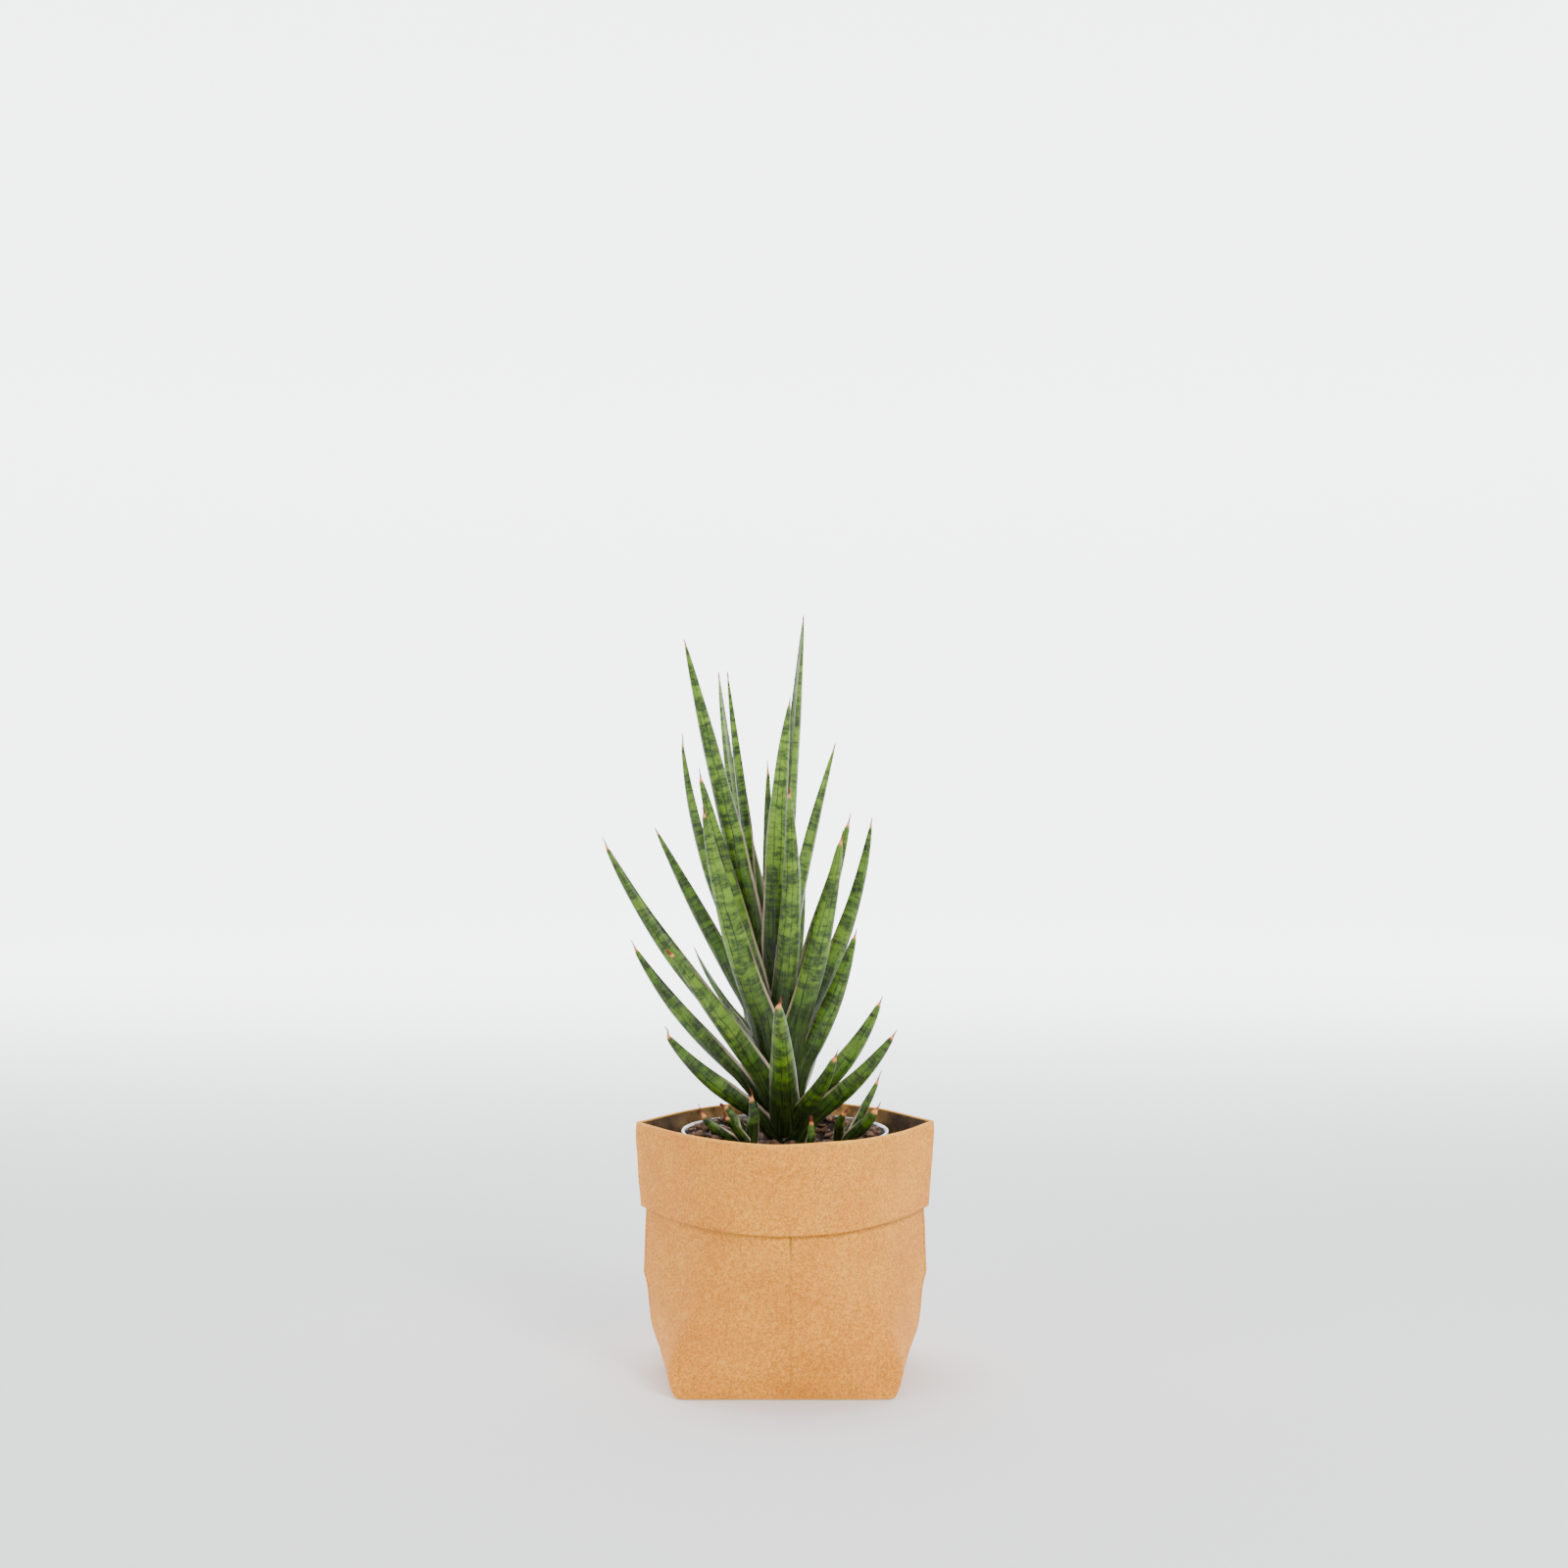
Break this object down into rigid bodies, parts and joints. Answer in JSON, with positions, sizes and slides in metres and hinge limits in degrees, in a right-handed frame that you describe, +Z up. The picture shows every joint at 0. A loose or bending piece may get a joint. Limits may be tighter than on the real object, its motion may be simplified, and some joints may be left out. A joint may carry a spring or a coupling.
{
  "type": "potted snake plant",
  "caption": "Stemmed snake plant with spear-shaped channelled leaves, growing in soil in a thin grow pot that stands inside a soft paper bag planter with a turned-down cuff.",
  "frame": {"origin": "middle of the bag's flat bottom, on the surface it stands on", "axes": "+Z up; +X to the right and -Y towards the viewer when the bag's front seam faces the viewer"},
  "size_m": [0.1937, 0.1724, 0.437],
  "materials": {
    "kraft_paper": "washable kraft paper, matt, softly creased, sewn seams",
    "clear_plastic": "clear vacuum-formed plastic",
    "white_plastic": "thin white plastic, satin gloss",
    "potting_soil": "damp peat mix with bark and perlite",
    "stem_skin": "pale green stem with dry papery leaf scars",
    "leaf_skin": "waxy green leaf with dark bands and a pale margin"
  },
  "bodies": {
    "root": {"paper_bag": "kraft_paper", "drip_saucer": "clear_plastic", "grow_pot": "white_plastic", "soil": "potting_soil", "stem_and_rhizome": "stem_skin", "tallest_leaf": "leaf_skin", "tall_left_leaf": "leaf_skin", "inner_left_leaf": "leaf_skin", "thin_left_leaf": "leaf_skin", "inner_right_leaf": "leaf_skin", "centre_thin_leaf": "leaf_skin", "upper_left_leaf": "leaf_skin", "upper_right_leaf": "leaf_skin", "broad_left_leaf": "leaf_skin", "front_right_leaf": "leaf_skin", "front_left_leaf": "leaf_skin", "mid_right_back_leaf": "leaf_skin", "outer_right_leaf": "leaf_skin", "mid_right_leaf": "leaf_skin", "outer_left_leaf": "leaf_skin", "far_left_leaf": "leaf_skin", "mid_low_right_leaf": "leaf_skin", "lower_left_leaf": "leaf_skin", "lower_front_left_leaf": "leaf_skin", "small_back_left_leaf": "leaf_skin", "front_centre_leaf": "leaf_skin", "low_right_leaf": "leaf_skin", "lowest_right_leaf": "leaf_skin", "lowest_left_leaf": "leaf_skin", "small_front_right_leaf": "leaf_skin", "back_high_leaf": "leaf_skin", "back_mid_leaf": "leaf_skin", "back_right_leaf": "leaf_skin", "back_low_leaf": "leaf_skin", "back_lower_left_leaf": "leaf_skin", "back_lower_right_leaf": "leaf_skin", "back_bottom_leaf": "leaf_skin", "small_right_leaf": "leaf_skin", "ground_right_leaf": "leaf_skin", "orange_tip_leaf": "leaf_skin", "ground_left_leaf": "leaf_skin", "cut_tip_leaf": "leaf_skin", "curled_tip_leaf": "leaf_skin", "pup_front_leaf": "leaf_skin"}
  },
  "joints": []
}
